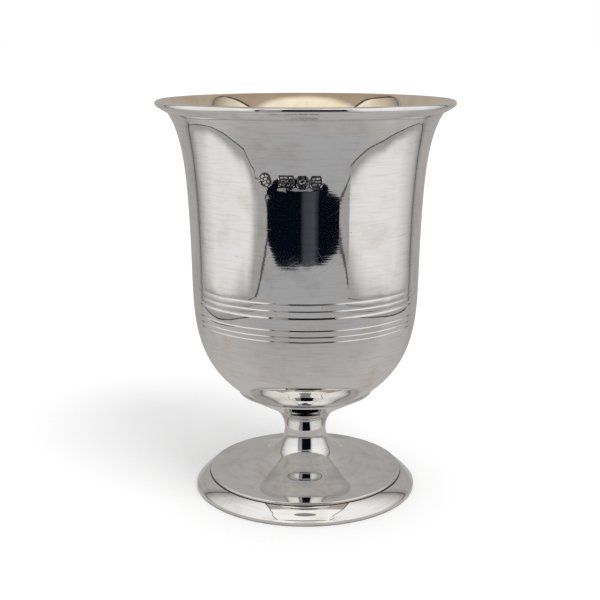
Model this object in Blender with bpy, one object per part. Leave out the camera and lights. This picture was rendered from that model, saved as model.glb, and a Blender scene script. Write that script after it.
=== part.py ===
"""A small silver wine goblet in metres, +Z up, standing on its foot ring with the origin at the centre underneath.

Two turned pieces: the bowl, and the foot whose collar holds the bottom of the bowl.
The lip and the flare hang from the rim, and the bottom of the bowl stands on the collar.
"""

import math

import bpy

# Round the axis
SEGMENTS = 48
SHARP_ANGLE = 28.0
ON_AXIS = 1e-6
HALVINGS = 40

# The whole goblet
HEIGHT = 0.1100
RIM_RADIUS = 0.0405
EDGE_RADIUS = 0.0314

# Bowl: lip, in and down from the rim
LIP_ROUND = 0.00085
LIP_ROUND_END = 57.0
LIP_ROUND_INNER_END = 140.0
LIP_OVERHANG = 0.00305
LIP_DEPTH = 0.00315
LIP_FOOT_LEAN = 70.0
LIP_PULL = 0.33
FILLET_INSET = 0.0004
FILLET_DROP = 0.00035
NECK_INSET = 0.0002
NECK_DROP = 0.00035
FLARE_TOP_LEAN = 40.0
FLARE_LOW_LEAN = 21.0
FLARE_START = 0.35

# Bowl: body, where a lean is the angle from straight down, inwards positive
NECK_LEAN = 32.3
NECK_TO_MIDDLE = 0.01655
MIDDLE_RADIUS = 0.03260
MIDDLE_LEAN = 5.6
WALL_RADIUS = 0.03159
WALL_LEAN = 1.3
BODY_PULL = 0.29
WALL = 0.0008

# Bowl: rounded bottom, out and up from the collar's edge
TURN_OVERHANG = 0.00022
TURN_RISE = 0.00077
TURN_LEAN = 53.3
TURN_PULL = 0.39
TURN_TO_STRAIGHT = 0.03254
BOTTOM_DEPTH = 0.0032
BOTTOM_PULL_OUTER = 0.003
BOTTOM_PULL_INNER = 0.010

# Bowl: engraved threads, down from where the wall is straight
THREAD_DROPS = (0.00136, 0.00323, 0.00501, 0.00839, 0.01009, 0.01147)
THREAD_WIDTH = 0.0005
WIDE_THREAD = 2
WIDE_THREAD_WIDTH = 0.0008
THREAD_DEPTH = 0.00015

# Where the bowl meets the foot
CLEARANCE = 0.0003

# Foot: collar and stem
COLLAR_RADIUS = 0.01908
COLLAR_EDGE_ROUND = 0.0003
SEAT_WIDTH = 0.0033
CALYX_SLOPE = 28.7
WAIST_RADIUS = 0.00588
WAIST_HEIGHT = 0.01682
UPPER_SWEEP = 0.0075
LOWER_SWEEP = 0.00815
LOWER_SWEEP_END = 58.0
FOOT_WALL = 0.00085

# Foot: trumpet, shoulder and ring
RING_WIDTH = 0.00393
SHOULDER_HEIGHT = 0.00433
SHOULDER_ROUND = 0.0007
SHOULDER_SLOPE = 1.5
SHOULDER_ROUND_END = 25.0
TRUMPET_START_PULL = 0.0040
TRUMPET_END_PULL = 0.0060
CREASE_WIDTH = 0.00038
CREASE_DROP = 0.00023
EDGE_HEIGHT = 0.0010
EDGE_BEVEL_WIDTH = 0.0002
EDGE_BEVEL_HEIGHT = 0.00015
EDGE_ROUND = 0.0001
STANDING_WIDTH = 0.0011

# Finish: polished silver
BOWL_COLOUR = (0.86, 0.85, 0.83)
BOWL_ROUGHNESS = 0.10
FOOT_COLOUR = (0.84, 0.83, 0.81)
FOOT_ROUGHNESS = 0.12


def polar(radius, height, length, degrees):
    """The point that lies this far from (radius, height), at an angle counted from straight outwards."""
    angle = math.radians(degrees)
    return (radius + length * math.cos(angle), height + length * math.sin(angle))


def arc(centre, length, start, end, steps):
    """Points of a circular arc, both ends included."""
    return [polar(*centre, length, start + (end - start) * i / steps) for i in range(steps + 1)]


def downwards(lean, length):
    """A step down the outline, leaning inwards by an angle from straight down."""
    angle = math.radians(lean)
    return (-length * math.sin(angle), -length * math.cos(angle))


def added(point, step):
    return (point[0] + step[0], point[1] + step[1])


class Sweep:
    """A smooth stretch of outline between two points, each with its own lean."""

    def __init__(self, start, start_lean, start_pull, end, end_lean, end_pull):
        back = downwards(end_lean, end_pull)
        self.controls = (
            start,
            added(start, downwards(start_lean, start_pull)),
            (end[0] - back[0], end[1] - back[1]),
            end,
        )

    def at(self, t):
        """The point at t, from 0 at the start to 1 at the end."""
        weights = ((1 - t) ** 3, 3 * (1 - t) ** 2 * t, 3 * (1 - t) * t * t, t**3)
        return tuple(sum(w * c[axis] for w, c in zip(weights, self.controls)) for axis in (0, 1))

    def inside(self, t, depth):
        """The point at t, moved square to the outline by depth, into the metal."""
        weights = (-((1 - t) ** 2), (1 - t) ** 2 - 2 * (1 - t) * t, 2 * (1 - t) * t - t * t, t * t)
        run = [sum(w * c[axis] for w, c in zip(weights, self.controls)) for axis in (0, 1)]
        length = math.hypot(*run)
        return added(self.at(t), (depth * run[1] / length, -depth * run[0] / length))

    def where(self, axis, value):
        """The t at which the radius (axis 0) or the height (axis 1) falls to a value."""
        low, high = 0.0, 1.0
        for _ in range(HALVINGS):
            middle = (low + high) / 2
            if self.at(middle)[axis] > value:
                low = middle
            else:
                high = middle
        return (low + high) / 2

    def points(self, steps, start=0.0, end=1.0, depth=0.0):
        """Evenly spaced points from start to end, both included."""
        return [self.inside(start + (end - start) * i / steps, depth) for i in range(steps + 1)]


def chord(first, second):
    return math.hypot(first[0] - second[0], first[1] - second[1])


def eased(start, start_lean, end, end_lean, pull):
    """A sweep whose two pulls are the same share of its chord."""
    length = pull * chord(start, end)
    return Sweep(start, start_lean, length, end, end_lean, length)


# Places on the foot's outline, from the waist up to the collar's edge
WAIST_TOP = (WAIST_RADIUS + UPPER_SWEEP, WAIST_HEIGHT)
CALYX_END = 90.0 + CALYX_SLOPE
CALYX_START = polar(*WAIST_TOP, UPPER_SWEEP, CALYX_END)
CALYX_RUN = COLLAR_RADIUS - COLLAR_EDGE_ROUND - CALYX_START[0]
CALYX_TOP = added(CALYX_START, (CALYX_RUN, CALYX_RUN * math.tan(math.radians(CALYX_SLOPE))))
COLLAR_EDGE = added(CALYX_TOP, (COLLAR_EDGE_ROUND, COLLAR_EDGE_ROUND))

# Places on the bowl's outline, from the rim down and from the collar up
LIP_CENTRE = (RIM_RADIUS - LIP_ROUND, HEIGHT - LIP_ROUND)
LIP_FOOT = (RIM_RADIUS - LIP_OVERHANG, HEIGHT - LIP_DEPTH)
FILLET = added(LIP_FOOT, (-FILLET_INSET, -FILLET_DROP))
NECK = added(FILLET, (-NECK_INSET, -NECK_DROP))
MIDDLE = (MIDDLE_RADIUS, NECK[1] - NECK_TO_MIDDLE)
TURN = added(COLLAR_EDGE, (TURN_OVERHANG, TURN_RISE))
STRAIGHT = (WALL_RADIUS, TURN[1] + TURN_TO_STRAIGHT)
BOTTOM_CENTRE = (0.0, TURN[1] - BOTTOM_DEPTH)

UPPER_BODY = eased(NECK, NECK_LEAN, MIDDLE, MIDDLE_LEAN, BODY_PULL)
MIDDLE_BODY = eased(MIDDLE, MIDDLE_LEAN, STRAIGHT, WALL_LEAN, BODY_PULL)
LOWER_BODY = eased(STRAIGHT, WALL_LEAN, TURN, TURN_LEAN, TURN_PULL)
BOTTOM = Sweep(TURN, TURN_LEAN, BOTTOM_PULL_OUTER, BOTTOM_CENTRE, 90.0, BOTTOM_PULL_INNER)


def threads():
    """The stretch of lower body with the six engraved threads, and the t at which plain metal starts again."""
    points = []
    for index, drop in enumerate(THREAD_DROPS):
        height = STRAIGHT[1] - drop
        half = (WIDE_THREAD_WIDTH if index == WIDE_THREAD else THREAD_WIDTH) / 2
        points.append(LOWER_BODY.at(LOWER_BODY.where(1, height + half)))
        points.append(LOWER_BODY.inside(LOWER_BODY.where(1, height), THREAD_DEPTH))
        points.append(LOWER_BODY.at(LOWER_BODY.where(1, height - half)))
    return points, LOWER_BODY.where(1, STRAIGHT[1] - THREAD_DROPS[-1] - THREAD_WIDTH / 2)


def bowl_outline():
    """From the crest of the rim down the outside to the axis, then up the inside, back to the crest."""
    lip = arc(LIP_CENTRE, LIP_ROUND, 90.0, 0.0, 2)
    lip += arc(LIP_CENTRE, LIP_ROUND, 0.0, -LIP_ROUND_END, 2)[1:]
    underside = eased(lip[-1], LIP_ROUND_END, LIP_FOOT, LIP_FOOT_LEAN, LIP_PULL)
    cut, plain = threads()
    outside = lip + underside.points(3)[1:] + [FILLET]
    outside += UPPER_BODY.points(5) + MIDDLE_BODY.points(4)[1:] + cut
    outside += LOWER_BODY.points(7, start=plain)[1:] + BOTTOM.points(3)[1:]

    inner_lip = arc(LIP_CENTRE, LIP_ROUND, LIP_ROUND_INNER_END, 90.0, 2)[:-1]
    body_top = UPPER_BODY.inside(FLARE_START, WALL)
    flare = eased(inner_lip[0], FLARE_TOP_LEAN, body_top, FLARE_LOW_LEAN, LIP_PULL)
    inside = flare.points(3)[:-1] + UPPER_BODY.points(2, start=FLARE_START, depth=WALL)
    inside += MIDDLE_BODY.points(3, depth=WALL)[1:] + LOWER_BODY.points(7, depth=WALL)[1:]
    inside += BOTTOM.points(3, depth=WALL)[1:]
    inside.reverse()
    return outside + inside + inner_lip[1:]


def foot_outline():
    """A closed loop: down the outside from the collar's edge, then up the inside to the seat."""
    waist_low = (WAIST_RADIUS + LOWER_SWEEP, WAIST_HEIGHT)
    shoulder_radius = EDGE_RADIUS - RING_WIDTH
    shoulder = (shoulder_radius - SHOULDER_ROUND, SHOULDER_HEIGHT)
    shoulder_top = 90.0 - SHOULDER_SLOPE
    start = polar(*waist_low, LOWER_SWEEP, 180.0 + LOWER_SWEEP_END)
    end = polar(*shoulder, SHOULDER_ROUND, shoulder_top)
    trumpet = Sweep(start, -LOWER_SWEEP_END, TRUMPET_START_PULL, end, -shoulder_top, TRUMPET_END_PULL)
    flank_top = (shoulder_radius + CREASE_WIDTH, SHOULDER_HEIGHT - CREASE_DROP)
    flank_foot = (EDGE_RADIUS - EDGE_BEVEL_WIDTH, EDGE_HEIGHT + EDGE_BEVEL_HEIGHT)

    outside = [COLLAR_EDGE, CALYX_TOP]
    outside += arc(WAIST_TOP, UPPER_SWEEP, CALYX_END, 180.0, 4)
    outside += arc(waist_low, LOWER_SWEEP, 180.0, 180.0 + LOWER_SWEEP_END, 3)[1:]
    outside += trumpet.points(5)[1:]
    outside += arc(shoulder, SHOULDER_ROUND, shoulder_top, -SHOULDER_ROUND_END, 3)[1:]
    outside += [flank_top, flank_foot, (EDGE_RADIUS, EDGE_HEIGHT)]
    outside += [(EDGE_RADIUS, EDGE_ROUND), (EDGE_RADIUS - EDGE_ROUND, 0.0)]

    flank_run = (flank_foot[0] - flank_top[0], flank_foot[1] - flank_top[1])
    scale = FOOT_WALL / math.hypot(*flank_run)
    sunk = (flank_run[1] * scale, -flank_run[0] * scale)
    sunk_foot = added(flank_foot, sunk)
    standing_inner = EDGE_RADIUS - STANDING_WIDTH
    rise = (standing_inner - sunk_foot[0]) * flank_run[1] / flank_run[0]
    inside = [(standing_inner, 0.0), (standing_inner, sunk_foot[1] + rise)]
    inside += [added(flank_top, sunk)]
    under = trumpet.points(4, depth=FOOT_WALL)
    under.reverse()
    inside += under
    inside += arc(waist_low, LOWER_SWEEP + FOOT_WALL, 180.0 + LOWER_SWEEP_END, 180.0, 2)[1:]
    inside += arc(WAIST_TOP, UPPER_SWEEP + FOOT_WALL, 180.0, CALYX_END, 3)[1:]
    seat_outer = COLLAR_RADIUS - CLEARANCE
    seat = BOTTOM.points(
        2,
        start=BOTTOM.where(0, seat_outer - SEAT_WIDTH),
        end=BOTTOM.where(0, seat_outer),
        depth=-CLEARANCE,
    )
    return outside + inside + seat


def turned(name, outline, colour, roughness):
    """An outline of (radius, height) points turned round the axis into one solid."""
    vertices = []
    rings = []
    for radius, height in outline:
        if radius < ON_AXIS:
            rings.append([len(vertices)] * SEGMENTS)
            vertices.append((0.0, 0.0, height))
            continue
        rings.append(list(range(len(vertices), len(vertices) + SEGMENTS)))
        for i in range(SEGMENTS):
            angle = math.tau * i / SEGMENTS
            vertices.append((radius * math.cos(angle), radius * math.sin(angle), height))
    faces = []
    pairs = list(zip(rings, rings[1:]))
    pairs.append((rings[-1], rings[0]))
    for upper, lower in pairs:
        for i in range(SEGMENTS):
            j = (i + 1) % SEGMENTS
            corners = [upper[i], lower[i], lower[j], upper[j]]
            face = list(dict.fromkeys(corners))
            if len(face) > 2:
                faces.append(face)
    mesh = bpy.data.meshes.new(name)
    mesh.from_pydata(vertices, [], faces)
    mesh.validate()
    mesh.polygons.foreach_set("use_smooth", [True] * len(mesh.polygons))
    mesh.set_sharp_from_angle(angle=math.radians(SHARP_ANGLE))

    material = bpy.data.materials.new(name)
    material.use_nodes = True
    shader = material.node_tree.nodes["Principled BSDF"]
    shader.inputs["Base Color"].default_value = (*colour, 1.0)
    shader.inputs["Metallic"].default_value = 1.0
    shader.inputs["Roughness"].default_value = roughness
    mesh.materials.append(material)

    piece = bpy.data.objects.new(name, mesh)
    bpy.context.scene.collection.objects.link(piece)
    return piece


for old in list(bpy.data.objects):
    bpy.data.objects.remove(old)

turned("bowl", bowl_outline(), BOWL_COLOUR, BOWL_ROUGHNESS)
turned("foot", foot_outline(), FOOT_COLOUR, FOOT_ROUGHNESS)
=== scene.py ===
"""A small silver wine goblet, mirror polished outside and gilt inside, standing in a light tent."""

import logging
import math
from collections.abc import Callable
from dataclasses import dataclass
from enum import Enum

import bpy
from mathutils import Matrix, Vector


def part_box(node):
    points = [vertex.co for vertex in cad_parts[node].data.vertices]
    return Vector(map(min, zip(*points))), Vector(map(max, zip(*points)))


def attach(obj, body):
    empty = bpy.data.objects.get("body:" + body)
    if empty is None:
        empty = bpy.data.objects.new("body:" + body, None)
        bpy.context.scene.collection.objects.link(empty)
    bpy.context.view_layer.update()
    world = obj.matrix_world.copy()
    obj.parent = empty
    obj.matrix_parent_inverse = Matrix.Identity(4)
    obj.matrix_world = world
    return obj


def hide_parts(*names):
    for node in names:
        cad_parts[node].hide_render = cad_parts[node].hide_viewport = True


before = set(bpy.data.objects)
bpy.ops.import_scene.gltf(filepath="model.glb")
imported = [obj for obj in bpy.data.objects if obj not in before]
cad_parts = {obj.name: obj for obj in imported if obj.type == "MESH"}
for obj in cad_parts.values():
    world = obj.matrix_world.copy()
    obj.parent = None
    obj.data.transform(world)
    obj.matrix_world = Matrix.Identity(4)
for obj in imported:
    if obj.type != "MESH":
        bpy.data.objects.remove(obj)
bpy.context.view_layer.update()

Point = tuple[float, float]
Span = tuple[float, float]

MM = 0.001
TURNS = 256
MERGE = 1e-7
HALVINGS = 34
SMOOTH_BELOW = 35.0
BOWL_OVER_COLLAR = (0.22 * MM, 0.77 * MM)
SILVER_SLOT, GILT_SLOT, TARNISH_SLOT = range(3)

log = logging.getLogger("goblet")


def linear(colour: str) -> tuple[float, float, float, float]:
    """Turn an sRGB hex colour into the linear colour that shaders take.

    Args:
        colour: Six hex digits after a hash sign.

    Returns:
        Red, green, blue and a full alpha.
    """
    channels = [int(colour[i : i + 2], 16) / 255 for i in (1, 3, 5)]
    light = [c / 12.92 if c <= 0.04045 else ((c + 0.055) / 1.055) ** 2.4 for c in channels]
    return (*light, 1.0)


def add_node(tree: bpy.types.NodeTree, kind: str, inputs: dict | None = None, **settings) -> bpy.types.Node:
    """Add a node with its settings, and set or link its inputs.

    Args:
        tree: The node tree that gets the node.
        kind: Blender's name for the node's type.
        inputs: For each input's name or number, a value or the output that feeds it.
        **settings: Properties of the node itself.

    Returns:
        The new node.
    """
    made = tree.nodes.new(kind)
    for name, value in settings.items():
        setattr(made, name, value)
    for socket, value in (inputs or {}).items():
        if isinstance(value, bpy.types.NodeSocket):
            tree.links.new(value, made.inputs[socket])
        else:
            made.inputs[socket].default_value = value
    return made


def set_stops(ramp: bpy.types.Node, stops: list[tuple[float, str]]) -> None:
    """Give a colour ramp its stops, each a place from 0 to 1 and an sRGB colour.

    Args:
        ramp: The ramp node.
        stops: The stops in order, at least two.
    """
    elements = ramp.color_ramp.elements
    while len(elements) < len(stops):
        elements.new(0.5)
    for element, (place, colour) in zip(elements, stops):
        element.position = place
        element.color = linear(colour)


def polar(centre: Point, length: float, degrees: float) -> Point:
    """Return the point at this distance from centre, at an angle counted from straight outwards."""
    angle = math.radians(degrees)
    return (centre[0] + length * math.cos(angle), centre[1] + length * math.sin(angle))


def arc(centre: Point, length: float, start: float, end: float, steps: int) -> list[Point]:
    """Return the points of a circular arc, both ends included.

    Args:
        centre: Radius and height of the arc's centre.
        length: The arc's own radius.
        start: First angle in degrees, from straight outwards.
        end: Last angle in degrees.
        steps: How many equal steps the arc has.

    Returns:
        The arc's points in order.
    """
    return [polar(centre, length, start + (end - start) * i / steps) for i in range(steps + 1)]


def downwards(lean: float, length: float) -> Point:
    """Return a step down the outline that leans inwards by an angle from straight down."""
    angle = math.radians(lean)
    return (-length * math.sin(angle), -length * math.cos(angle))


def added(point: Point, step: Point) -> Point:
    """Return the point moved by the step."""
    return (point[0] + step[0], point[1] + step[1])


def between(start: Point, end: Point, share: float) -> Point:
    """Return the point that lies at a share of the way from start to end."""
    return (start[0] + (end[0] - start[0]) * share, start[1] + (end[1] - start[1]) * share)


@dataclass(frozen=True)
class Sweep:
    """A smooth stretch of outline between two points, each with its own lean and pull."""

    start: Point
    start_lean: float
    start_pull: float
    end: Point
    end_lean: float
    end_pull: float

    @property
    def controls(self) -> tuple[Point, Point, Point, Point]:
        """Work out the curve's control points.

        Returns:
            The start, the ends of both pulls and the end.
        """
        ahead = downwards(self.start_lean, self.start_pull)
        back = downwards(self.end_lean, -self.end_pull)
        return (self.start, added(self.start, ahead), added(self.end, back), self.end)

    def at(self, t: float) -> Point:
        """Return the point at t, from 0 at the start to 1 at the end."""
        weights = ((1 - t) ** 3, 3 * (1 - t) ** 2 * t, 3 * (1 - t) * t * t, t**3)
        return tuple(sum(w * c[axis] for w, c in zip(weights, self.controls)) for axis in (0, 1))

    def inside(self, t: float, depth: float) -> Point:
        """Find the point at t, sunk square to the outline.

        Args:
            t: From 0 at the start to 1 at the end.
            depth: How far it is sunk.

        Returns:
            The sunk point.
        """
        weights = (-((1 - t) ** 2), (1 - t) ** 2 - 2 * (1 - t) * t, 2 * (1 - t) * t - t * t, t * t)
        run = [sum(w * c[axis] for w, c in zip(weights, self.controls)) for axis in (0, 1)]
        length = math.hypot(*run)
        return added(self.at(t), (depth * run[1] / length, -depth * run[0] / length))

    def where(self, axis: int, value: float) -> float:
        """Find where the curve falls to a radius or a height, by halving.

        Args:
            axis: 0 for the radius or 1 for the height.
            value: The radius or height to find.

        Returns:
            The t at that place.
        """
        low, high = 0.0, 1.0
        for _ in range(HALVINGS):
            middle = (low + high) / 2
            if self.at(middle)[axis] > value:
                low = middle
            else:
                high = middle
        return (low + high) / 2

    def points(self, steps: int, start: float = 0.0, end: float = 1.0, depth: float = 0.0) -> list[Point]:
        """Return evenly spaced points from start to end, both included, sunk by depth."""
        return [self.inside(start + (end - start) * i / steps, depth) for i in range(steps + 1)]


def drawn(name: str, places: list[tuple[float, float, float]]) -> bpy.types.Object:
    """Draw a line of edges from place to place and leave it open in edit mode, with its last point selected.

    Args:
        name: The new object's name.
        places: The corners of the line in order.

    Returns:
        The object, which sits at the origin.
    """
    bpy.ops.object.select_all(action="DESELECT")
    bpy.ops.mesh.primitive_plane_add(size=MM, location=places[0])
    piece = bpy.context.active_object
    piece.name = name
    piece.data.name = name
    bpy.ops.object.transform_apply(location=True, rotation=True, scale=True)
    bpy.ops.object.mode_set(mode="EDIT")
    bpy.ops.mesh.select_mode(type="VERT")
    bpy.ops.mesh.merge(type="CENTER")
    for before, after in zip(places, places[1:]):
        step = tuple(a - b for a, b in zip(after, before))
        bpy.ops.mesh.extrude_region_move(TRANSFORM_OT_translate={"value": step})
    return piece


def turned(name: str, outline: list[Point]) -> bpy.types.Object:
    """Turn an outline round the axis, as on a lathe, into one closed shell.

    Args:
        name: The new piece's name.
        outline: Radius and height of each point; the last repeats the first.

    Returns:
        The piece, with its faces pointing out.
    """
    piece = drawn(name, [(radius, 0.0, height) for radius, height in outline])
    bpy.ops.mesh.select_all(action="SELECT")
    bpy.ops.mesh.spin(steps=TURNS, angle=math.tau, center=(0, 0, 0), axis=(0, 0, 1))
    bpy.ops.mesh.select_all(action="SELECT")
    bpy.ops.mesh.remove_doubles(threshold=MERGE)
    bpy.ops.mesh.select_all(action="SELECT")
    bpy.ops.mesh.normals_make_consistent(inside=False)
    bpy.ops.mesh.select_all(action="DESELECT")
    bpy.ops.object.mode_set(mode="OBJECT")
    return piece


def pick(piece: bpy.types.Object, kind: str, wanted: Callable[[Vector], bool]) -> int:
    """Select a piece's points or faces by place and open it in edit mode.

    Args:
        piece: The piece, alone in the selection afterwards.
        kind: VERT for points or FACE for faces, which are judged by their middles.
        wanted: Says whether a place is selected.

    Returns:
        How many were selected.
    """
    bpy.ops.object.select_all(action="DESELECT")
    bpy.context.view_layer.objects.active = piece
    piece.select_set(True)
    bpy.ops.object.mode_set(mode="EDIT")
    bpy.ops.mesh.select_mode(type=kind)
    bpy.ops.mesh.select_all(action="DESELECT")
    bpy.ops.object.mode_set(mode="OBJECT")
    mesh = piece.data
    found = 0
    for element in mesh.vertices if kind == "VERT" else mesh.polygons:
        if wanted(element.co if kind == "VERT" else element.center):
            element.select = True
            found += 1
    bpy.ops.object.mode_set(mode="EDIT")
    return found


@dataclass(frozen=True)
class PolishedSilver:
    """Sterling silver, spun, buffed and often wiped.

    It gives the eye a mirror with slow swells, buffing rings, hairlines, a few pits, and grey in its creases
    that is partly tarnish and partly painted shade.
    """

    bright: str = "#F2F2F1"
    dull: str = "#D6CFC7"
    # Grey for creases and threads. It stands for tarnish and for painted shade at once.
    tarnish: str = "#4A4644"
    nook_mm: float = 0.7
    roughness: float = 0.024
    swell_mm: float = 13.0
    swell_rise: float = 0.026 * MM
    ring_mm: float = 0.42
    ring_run_mm: float = 7.0
    ring_rise: float = 0.0010 * MM
    hairline_mm: float = 0.16
    hairline_run_mm: float = 16.0
    hairline_rise: float = 0.0003 * MM
    hairline_turns: tuple[float, ...] = (7.0, -34.0, 58.0)
    hairline_cut: Span = (0.69, 0.80)
    hairline_haze: float = 0.012
    pit_mm: float = 5.0
    pit_rise: float = 0.010 * MM
    pit_edge: Span = (0.025, 0.05)
    patch_mm: float = 8.0
    dull_range: Span = (0.45, 0.80)
    dull_share: float = 0.60
    streak_range: Span = (0.50, 0.80)
    streak_share: float = 0.45
    nook_range: Span = (0.42, 0.90)
    nook_share: float = 0.85
    haze_range: Span = (0.35, 0.75)
    haze_gain: float = 1.5

    def hairlines(self, tree: bpy.types.NodeTree, place: bpy.types.NodeSocket) -> bpy.types.NodeSocket:
        """Draw fine wiping scratches in a few directions, two or three times too wide so that they show.

        Args:
            tree: The material's nodes.
            place: Object coordinates.

        Returns:
            A value that is 1 on a scratch and 0 beside it.
        """
        run, width = self.hairline_run_mm * MM, self.hairline_mm * MM
        found = None
        for turn in self.hairline_turns:
            laid = add_node(
                tree,
                "ShaderNodeMapping",
                {"Vector": place, "Rotation": (0.0, math.radians(turn), 0.0), "Scale": (run, run, width)},
                vector_type="TEXTURE",
            )
            noise = add_node(
                tree, "ShaderNodeTexNoise", {"Vector": laid.outputs["Vector"], "Scale": 1.0, "Detail": 1.0}
            )
            line = add_node(
                tree,
                "ShaderNodeMapRange",
                {
                    "Value": noise.outputs["Fac"],
                    "From Min": self.hairline_cut[0],
                    "From Max": self.hairline_cut[1],
                },
                interpolation_type="SMOOTHSTEP",
            )
            if found is None:
                found = line.outputs["Result"]
            else:
                both = add_node(
                    tree, "ShaderNodeMath", {0: found, 1: line.outputs["Result"]}, operation="MAXIMUM"
                )
                found = both.outputs["Value"]
        return found

    def make(self, name: str) -> bpy.types.Material:
        """Make the silver's material.

        Args:
            name: The material's name.

        Returns:
            The material.
        """
        material = bpy.data.materials.new(name)
        material.use_nodes = True
        tree = material.node_tree
        shader = tree.nodes["Principled BSDF"]
        place = add_node(tree, "ShaderNodeTexCoord").outputs["Object"]

        patches = add_node(
            tree,
            "ShaderNodeTexNoise",
            {"Vector": place, "Scale": 1 / (self.patch_mm * MM), "Detail": 5.0, "Roughness": 0.62},
        )
        lines = self.hairlines(tree, place)
        spots = add_node(
            tree, "ShaderNodeTexVoronoi", {"Vector": place, "Scale": 1 / (self.pit_mm * MM)}, feature="F1"
        )
        pits = add_node(
            tree,
            "ShaderNodeMapRange",
            {
                "Value": spots.outputs["Distance"],
                "From Min": self.pit_edge[0],
                "From Max": self.pit_edge[1],
                "To Min": 1.0,
                "To Max": 0.0,
            },
            interpolation_type="SMOOTHSTEP",
        )

        laid = add_node(
            tree,
            "ShaderNodeMapping",
            {"Vector": place, "Scale": (self.ring_run_mm * MM, self.ring_run_mm * MM, self.ring_mm * MM)},
            vector_type="TEXTURE",
        )
        rings = add_node(
            tree,
            "ShaderNodeTexNoise",
            {"Vector": laid.outputs["Vector"], "Scale": 1.0, "Detail": 1.5, "Roughness": 0.5},
        )
        streaks = add_node(
            tree,
            "ShaderNodeMapRange",
            {
                "Value": rings.outputs["Fac"],
                "From Min": self.streak_range[0],
                "From Max": self.streak_range[1],
                "To Max": self.streak_share,
            },
        )
        dulled = add_node(
            tree,
            "ShaderNodeMapRange",
            {
                "Value": patches.outputs["Fac"],
                "From Min": self.dull_range[0],
                "From Max": self.dull_range[1],
                "To Max": self.dull_share,
            },
            interpolation_type="SMOOTHSTEP",
        )
        spoilt = add_node(
            tree,
            "ShaderNodeMath",
            {0: dulled.outputs["Result"], 1: pits.outputs["Result"]},
            operation="MAXIMUM",
        )
        share = add_node(
            tree,
            "ShaderNodeMath",
            {0: spoilt.outputs["Value"], 1: streaks.outputs["Result"]},
            operation="ADD",
            use_clamp=True,
        )
        colour = add_node(tree, "ShaderNodeMix", {"Factor": share.outputs["Value"]}, data_type="RGBA")
        colour.inputs[6].default_value = linear(self.bright)
        colour.inputs[7].default_value = linear(self.dull)
        # Painted shade with tarnish: the less ambient light reaches a spot, the more its colour turns to the
        # crease grey, in the threads, creases and under the lip.
        nooks = add_node(tree, "ShaderNodeAmbientOcclusion", {"Distance": self.nook_mm * MM}, samples=6)
        nook_tarnish_and_shade = add_node(
            tree,
            "ShaderNodeMapRange",
            {
                "Value": nooks.outputs["AO"],
                "From Min": self.nook_range[0],
                "From Max": self.nook_range[1],
                "To Min": self.nook_share,
                "To Max": 0.0,
            },
            interpolation_type="SMOOTHSTEP",
        )
        aged_and_shaded = add_node(tree, "ShaderNodeMix", {"Factor": nook_tarnish_and_shade.outputs["Result"]}, data_type="RGBA")
        tree.links.new(colour.outputs[2], aged_and_shaded.inputs[6])
        aged_and_shaded.inputs[7].default_value = linear(self.tarnish)
        tree.links.new(aged_and_shaded.outputs[2], shader.inputs["Base Color"])

        hazy = add_node(
            tree,
            "ShaderNodeMapRange",
            {
                "Value": patches.outputs["Fac"],
                "From Min": self.haze_range[0],
                "From Max": self.haze_range[1],
                "To Min": self.roughness,
                "To Max": self.roughness * self.haze_gain,
            },
        )
        rough = add_node(
            tree,
            "ShaderNodeMath",
            {0: lines, 1: self.hairline_haze, 2: hazy.outputs["Result"]},
            operation="MULTIPLY_ADD",
        )
        tree.links.new(rough.outputs["Value"], shader.inputs["Roughness"])

        swells = add_node(
            tree,
            "ShaderNodeTexNoise",
            {"Vector": place, "Scale": 1 / (self.swell_mm * MM), "Detail": 2.0, "Roughness": 0.45},
        )
        wall = add_node(
            tree,
            "ShaderNodeBump",
            {"Height": swells.outputs["Fac"], "Strength": 1.0, "Distance": self.swell_rise},
        )
        buffed = add_node(
            tree,
            "ShaderNodeBump",
            {
                "Height": rings.outputs["Fac"],
                "Strength": 1.0,
                "Distance": self.ring_rise,
                "Normal": wall.outputs["Normal"],
            },
        )
        scratched = add_node(
            tree,
            "ShaderNodeBump",
            {
                "Height": lines,
                "Strength": 1.0,
                "Distance": self.hairline_rise,
                "Normal": buffed.outputs["Normal"],
            },
            invert=True,
        )
        pitted = add_node(
            tree,
            "ShaderNodeBump",
            {
                "Height": pits.outputs["Result"],
                "Strength": 1.0,
                "Distance": self.pit_rise,
                "Normal": scratched.outputs["Normal"],
            },
            invert=True,
        )
        tree.links.new(pitted.outputs["Normal"], shader.inputs["Normal"])
        shader.inputs["Metallic"].default_value = 1.0
        return material


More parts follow.
